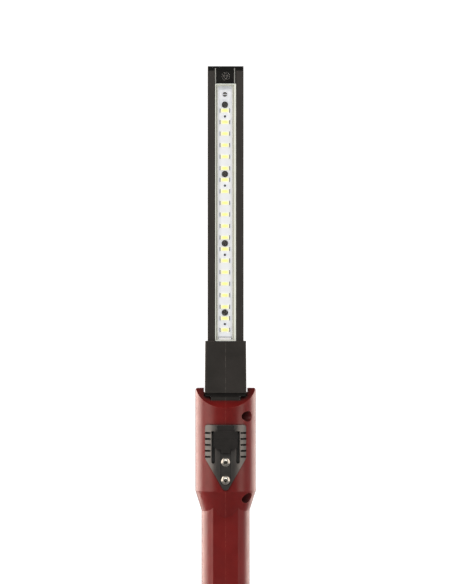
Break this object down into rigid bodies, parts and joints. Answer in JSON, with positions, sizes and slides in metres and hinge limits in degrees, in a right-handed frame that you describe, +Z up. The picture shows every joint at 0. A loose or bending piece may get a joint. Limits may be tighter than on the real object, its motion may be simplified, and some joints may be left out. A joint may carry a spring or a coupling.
{
  "type": "folding work light",
  "caption": "Rechargeable work light: a slim LED light bar hinged to a hand grip, with charging contacts, push button, swivel tail magnet and fold-out hook.",
  "frame": {"origin": "on the flat tail face, on the handle's centre plane", "axes": "+Z up along the light from tail to bar tip, the LEDs face -Y, +X to the right of someone looking at the LEDs"},
  "size_m": [0.0384, 0.0364, 0.418],
  "materials": {
    "red_housing": "satin moulded nylon",
    "black_plastic": "fine matt texture",
    "black_gloss": "smooth gloss",
    "anodised_bar": "black anodised, drawn along its length",
    "clear_lens": "clear polycarbonate",
    "white_board": "white solder mask",
    "led_body": "white moulded package",
    "phosphor": "pale yellow phosphor",
    "solder": "tin",
    "black_screw": "black oxide",
    "steel": "plated steel",
    "contact_plating": "bright nickel plate",
    "brass_strip": "plain strip",
    "seal_rubber": "matt",
    "button_rubber": "soft matt",
    "cell_wrap": "shrink sleeve",
    "circuit_board": "green solder mask",
    "component_black": "moulded epoxy",
    "wire_red": "extruded insulation",
    "bush_bronze": "sintered bronze",
    "nylon": "natural nylon",
    "magnet_plating": "nickel plate"
  },
  "bodies": {
    "handle": {"housing_left": "red_housing", "housing_right": "red_housing", "housing_screws": "black_screw", "charge_port_plate": "black_plastic", "charge_block": "black_plastic", "charge_contacts": "contact_plating", "contact_nuts": "steel", "charge_leads": "brass_strip", "charge_port_gasket": "seal_rubber", "hinge_pin": "steel", "hinge_washers": "nylon", "handle_wires": "wire_red", "battery_cell": "steel", "battery_sleeve": "cell_wrap", "battery_carrier": "nylon", "battery_contact_top": "brass_strip", "battery_spring_contact": "brass_strip", "battery_wires": "wire_red", "control_board": "circuit_board", "board_components": "component_black", "tact_switch": "component_black"},
    "light_bar": {"bracket_left": "black_plastic", "bracket_right": "black_plastic", "bracket_screws": "black_screw", "bar_clamp_screws": "black_screw", "bar_extrusion": "anodised_bar", "led_board": "white_board", "led_packages": "led_body", "led_phosphors": "phosphor", "solder_pads": "solder", "board_screws": "black_screw", "lens": "clear_lens", "end_cap": "black_gloss", "end_cap_gasket": "seal_rubber", "end_cap_screw": "black_screw", "bar_wires": "wire_red", "hinge_bushes": "bush_bronze"},
    "button": {"power_button": "button_rubber"},
    "tail": {"tail_cap": "black_plastic", "swivel_retainer": "nylon", "magnet_cup": "steel", "magnet": "magnet_plating", "magnet_screw": "steel", "hook_pin": "steel"},
    "hook": {"stow_hook": "steel"}
  },
  "joints": [
    {"name": "bar_hinge", "type": "hinge", "parent": "handle", "child": "light_bar", "pos_m": [0, 0.009, 0.205], "axis": [-1, 0, 0], "range_deg": [0, 180]},
    {"name": "button_press", "type": "slide", "parent": "handle", "child": "button", "axis": [0, 1, 0], "range_m": [0, 0.0004], "stiffness_N_per_m": 2000, "springref_m": -0.0005},
    {"name": "tail_swivel", "type": "hinge", "parent": "handle", "child": "tail", "pos_m": [0, -0.00093, 0.045], "axis": [0, 0, 1], "continuous": true},
    {"name": "hook_fold", "type": "hinge", "parent": "tail", "child": "hook", "pos_m": [0, 0.0098, 0.0052], "axis": [-1, 0, 0], "range_deg": [0, 180]}
  ]
}
